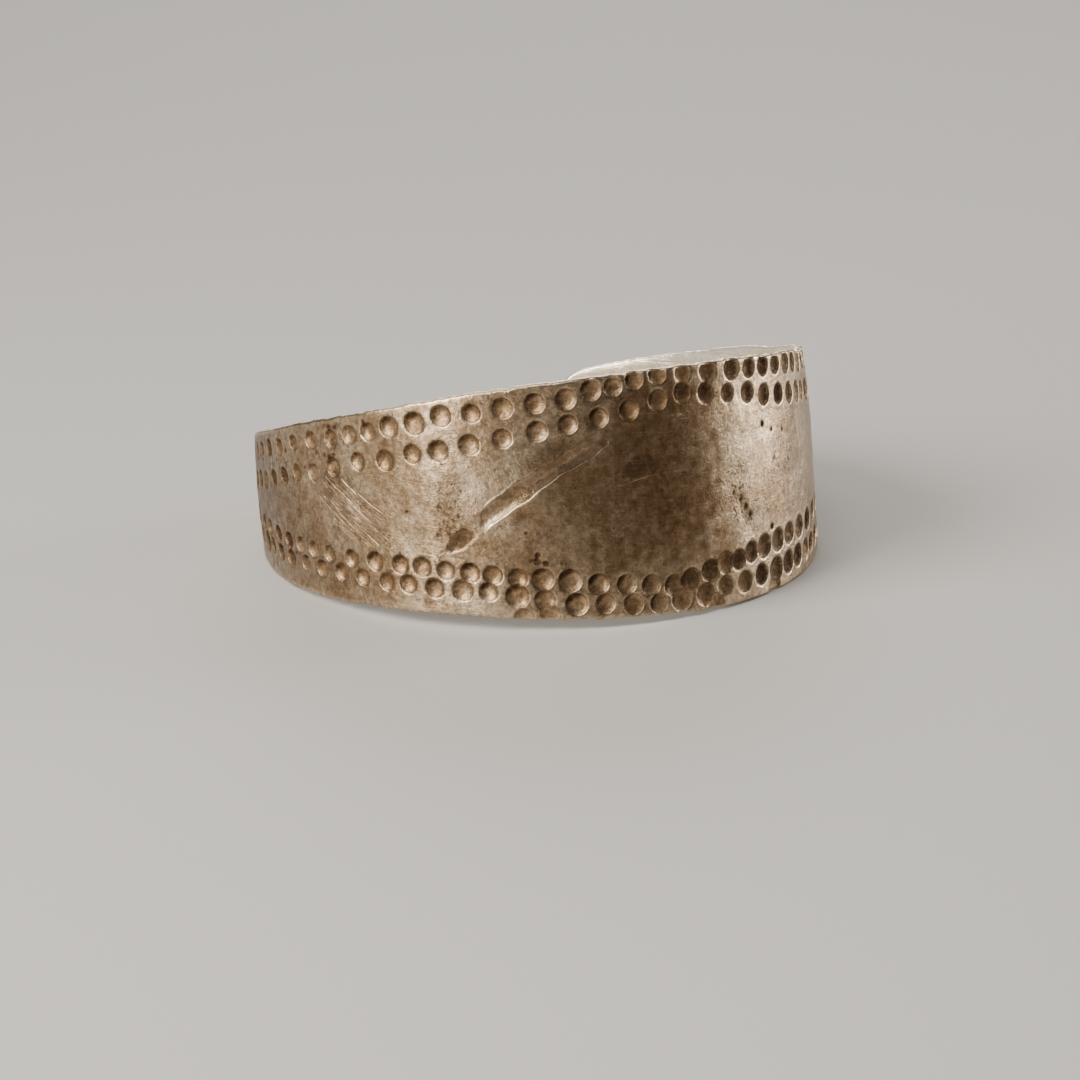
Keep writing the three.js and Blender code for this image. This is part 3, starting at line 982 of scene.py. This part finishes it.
def scratchTotal(tree, group, flat, scratches):  # the single cut lines, and those thrown up bright
    cuts = None
    burrs = None
    for along, height, turn, halfLength, halfWidth, depth in scratches:
        line = placeGroup(tree, group, {
            "Vector": flat, "Place": (along * sheetUnit, height * sheetUnit, 0), "Turn": turnOf(turn),
            "Spread": (halfLength * sheetUnit, halfWidth * sheetUnit, 1),
        })["Mask"]
        line = times(line, abs(depth))
        if depth > 0:
            cuts = line if cuts is None else larger(cuts, line)
        else:
            burrs = line if burrs is None else larger(burrs, line)
    return cuts, burrs


def addGrain(shader, place, sharpEdges, speckles, lineHeight):  # all that is too fine for the mesh
    grain = plus(coat(noise(place, *coats["grainNoise"]), "grain"),
                 coat(noise(place, *coats["fineNoise"]), "fineGrain"))
    grain = plus(grain, coat(sharpEdges, "edgeHeight"))
    fine = plus(coat(speckles, "speckHeight"), coat(lineHeight, "lineHeight"))
    bump = connect(addNode(place.id_data, "ShaderNodeBump"), {
        "Strength": coats["bump"], "Distance": coats["bumpDistance"], "Height": plus(grain, fine)})
    connect(shader, {"Normal": bump["Normal"]})


def makeSilver(name, groups):
    finish = silverFinishes[name]
    material = bpy.data.materials.new(name)
    material.use_nodes = True
    tree = material.node_tree
    shader = tree.nodes["Principled BSDF"]
    place = addNode(tree, "ShaderNodeTexCoord").outputs["Object"]
    flat = addNode(tree, "ShaderNodeUVMap", uv_map="flatSheet").outputs["UV"]
    hollow, stainAndShade, worn, scored, heldDirtAndShade = [
        readAttribute(tree, title) for title in ("recess", "stainAndShade", "worn", "scored", "heldDirtAndShade")]
    tarnish = placeGroup(tree, groups["tarnish"], {
        "Vector": place, "Hollow": hollow, "Stain And Shade": stainAndShade, "Worn": worn, "Dirt And Shade": heldDirtAndShade,
        "Amount": finish["tarnish"]})
    sharp = placeGroup(tree, groups["edges"], {
        "Rim": readAttribute(tree, "rim"), "Burr Gap": readAttribute(tree, "burrGap"),
        "Burr Share": readAttribute(tree, "burrShare")})
    pitting = placeGroup(tree, groups["pitting"], {
        "Vector": place, "Amount": plus(readAttribute(tree, "speckled"), finish["pits"])})
    rubbed = placeGroup(tree, groups["scratches"], {
        "Vector": flat, "Turn": turnOf(coats["rubbedTurn"]), "Spread": finish["lineSize"],
        "Amount": finish["scratches"]})
    gritty, crossed = [
        placeGroup(tree, groups["scratches"], {"Vector": flat, "Turn": turnOf(turn), "Spread": size,
                                               "Amount": scored})
        for turn, size in coats["gritLines"]]
    cuts, burrs = scratchTotal(tree, groups["single"], flat, finish["singleLines"])

    gritShine = coat(larger(gritty["Bright"], crossed["Bright"]), "grittyShine")
    bright = plus(coat(rubbed["Bright"], "rubbedShine"), gritShine, clamp=True)
    # the bright line round each rim is painted highlight on worn edge metal, less where stained
    edgeShine = minus(coats["edgeShine"], coat(stainAndShade, "edgeShineStained"), clamp=True)
    breaks = remap(noise(place, *coats["edgeNoise"]), *coats["edgeBreaks"])
    edgeShine = times(sharp["Bright"], times(edgeShine, breaks))
    bright = larger(bright, edgeShine)
    # the burr's bright line is painted highlight on bare metal
    bright = larger(bright, coat(sharp["Burr"], "burrShine"))
    bright = larger(bright, burrs)

    specks = coat(pitting["Mask"], "speckDirt")
    specks = larger(tarnish["Mottle"], specks, clamp=True)
    # the dark line inside each rim: painted shade along the steep wall, with some dirt
    specks = larger(specks, coat(sharp["Dark"], "edgeShadeAndDirt"))
    # deep dirt in the marks, and the painted shade in them, dark and dull
    deepDirtAndShade = times(minus(heldDirtAndShade, coats["deepFrom"]), coats["deepRise"], clamp=True)
    breaks = remap(noise(place, *coats["deepNoise"]), *coats["deepBreaks"])
    deepDirtAndShade = times(deepDirtAndShade, breaks)
    specks = larger(specks, coat(deepDirtAndShade, "deepDirtAndShade"))
    lineDirt = plus(coat(gritty["Dirt"], "grittyDirt"), times(rubbed["Dirt"], finish["streaks"]))
    specks = plus(specks, lineDirt, clamp=True)
    specks = larger(specks, coat(cuts, "cutDirt"))

    skin = mixColour(tarnish["Clouds"], finish["bright"], finish["dull"])
    skin = mixColour(coat(hollow, "tanInHollows"), skin, finish["tan"])
    skin = mixColour(tarnish["Film And Shade"], skin, finish["umber"])
    skin = mixColour(specks, skin, finish["brown"])
    skin = mixColour(coat(worn, "wornShine"), skin, finish["bright"])
    skin = mixColour(bright, skin, finish["bright"])
    fleck = remap(noise(place, *coats["fleckNoise"]), *coats["fleckRange"],
                  finish["fleckDark"], finish["fleckLight"])
    flecked = mixColour(1.0, skin, fleck, "MULTIPLY")
    skin = mixColour(whatIsLeft(stainAndShade, coats["fleckOffStains"]), skin, flecked)

    dirty = larger(specks, coat(tarnish["Film And Shade"], "filmDirt"))
    dirty = larger(dirty, coat(heldDirtAndShade, "dirtAndShadeWeight"), clamp=True)
    rough = remap(dirty, 0, 1, finish["polish"], finish["grime"])
    rough = plus(rough, coat(hollow, "hollowRough"))
    rough = plus(rough, coat(deepDirtAndShade, "deepRough"))
    metal = remap(dirty, 0.1, 1, finish["metal"], coats["dirtyMetal"])
    metal = times(metal, whatIsLeft(deepDirtAndShade, coats["deepUnmetal"]))
    connect(shader, {"Base Color": skin, "Roughness": rough, "Metallic": metal,
                     "Specular IOR Level": coats["dirtShine"]})

    lineHeight = plus(coat(rubbed["Height"], "rubbedHeight"), coat(gritty["Height"], "grittyHeight"))
    single = coat(minus(burrs, cuts), "cutHeight")
    addGrain(shader, place, sharp["Height"], pitting["Height"], plus(lineHeight, single))
    return material


def finishBand(band):
    groups = {"tarnish": makeTarnishAndShade(), "pitting": makePitting(), "scratches": makeScratches(),
              "single": makeSingleScratch(), "edges": makeRimEdges()}
    for name in silverFinishes:
        band.data.materials.append(makeSilver(name, groups))
    mesh = band.data
    within = np.empty(len(mesh.vertices))
    mesh.attributes["within"].data.foreach_get("value", within)
    slots = [int(within[list(face.vertices)].mean() > meshing["innerFrom"])
             for face in mesh.polygons]
    mesh.polygons.foreach_set("material_index", slots)
    print("finish: outer and inner silver")


stageSet = {
    "floorSize": 8.0, "floorParts": 4, "floorRoughness": 0.7,
    "floorColour": (0.40, 0.39, 0.375, 1),
    "worldColour": (0.90, 0.93, 1.0, 1),
    "worldStrength": 0.10,
}

lamps = {  # degrees round the ring from the camera, degrees up, metres away, width, height, watts
    "keyBox": (-52, 36, 0.55, 0.30, 0.30, 5.2),
    "frontBox": (-38, 11, 0.50, 0.16, 0.22, 0.9),
    "sideBox": (113, 10, 0.45, 0.20, 0.22, 2.2),
    "backBox": (180, 26, 0.60, 0.36, 0.24, 1.4),
    "topBox": (-25, 70, 0.60, 0.30, 0.26, 2.1),
}
lampColour = (1, 0.95, 0.88)

view = {
    "azimuth": -35.1, "elevation": 16.0, "away": 440.1, "lens": 150, "sensor": 36, "nearest": 0.01,
    "right": -0.12, "up": 0.25,  # millimetres from the hoop's centre on the ground to the aim
}


def makeFloor():
    clearSelection()
    bpy.ops.mesh.primitive_grid_add(x_subdivisions=stageSet["floorParts"],
                                    y_subdivisions=stageSet["floorParts"],
                                    size=stageSet["floorSize"])
    floor = bpy.context.object
    floor.name = "paleFloor"
    material = bpy.data.materials.new("palePaper")
    material.use_nodes = True
    shader = material.node_tree.nodes["Principled BSDF"]
    shader.inputs["Base Color"].default_value = stageSet["floorColour"]
    shader.inputs["Roughness"].default_value = stageSet["floorRoughness"]
    floor.data.materials.append(material)


def makeWorld():
    world = bpy.data.worlds.new("softSurround")
    world.use_nodes = True
    background = world.node_tree.nodes["Background"]
    background.inputs["Color"].default_value = stageSet["worldColour"]
    background.inputs["Strength"].default_value = stageSet["worldStrength"]
    bpy.context.scene.world = world


def directionFrom(azimuth, elevation):  # azimuth 0 stands at -Y, 90 at +X
    around = math.radians(azimuth)
    above = math.radians(elevation)
    level = math.cos(above)
    return np.array([math.sin(around) * level, -math.cos(around) * level, math.sin(above)])


def aimAt(thing, target):
    look = np.array(target) - np.array(thing.location)
    flat = math.hypot(look[0], look[1])
    thing.rotation_euler = (math.atan2(flat, -look[2]), 0, math.atan2(-look[0], look[1]))


def makeLamps(centre):
    for name, (turn, up, away, wide, tall, power) in lamps.items():
        clearSelection()
        place = centre + away * directionFrom(view["azimuth"] + turn, up)
        bpy.ops.object.light_add(type="AREA", location=place.tolist())
        light = bpy.context.object
        light.name = name
        light.data.shape = "RECTANGLE"
        light.data.size = wide
        light.data.size_y = tall
        light.data.energy = power
        light.data.color = lampColour
        light.visible_camera = False
        aimAt(light, centre)


def makeCamera(centre):
    azimuth = math.radians(view["azimuth"])
    sideways = np.array([math.cos(azimuth), math.sin(azimuth), 0])
    target = centre + (view["right"] * sideways + np.array([0, 0, view["up"]])) * mm
    place = target + view["away"] * mm * directionFrom(view["azimuth"], view["elevation"])
    bpy.ops.object.camera_add(location=place.tolist())
    camera = bpy.context.object
    camera.data.lens = view["lens"]
    camera.data.sensor_width = view["sensor"]
    camera.data.clip_start = view["nearest"]
    aimAt(camera, target)
    bpy.context.scene.camera = camera


band, hoopCentre = buildBand()
finishBand(band)
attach(band, "root")
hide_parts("band")

makeFloor()
makeWorld()
makeLamps(hoopCentre)
makeCamera(hoopCentre)
print("stage: floor, lamps and camera")
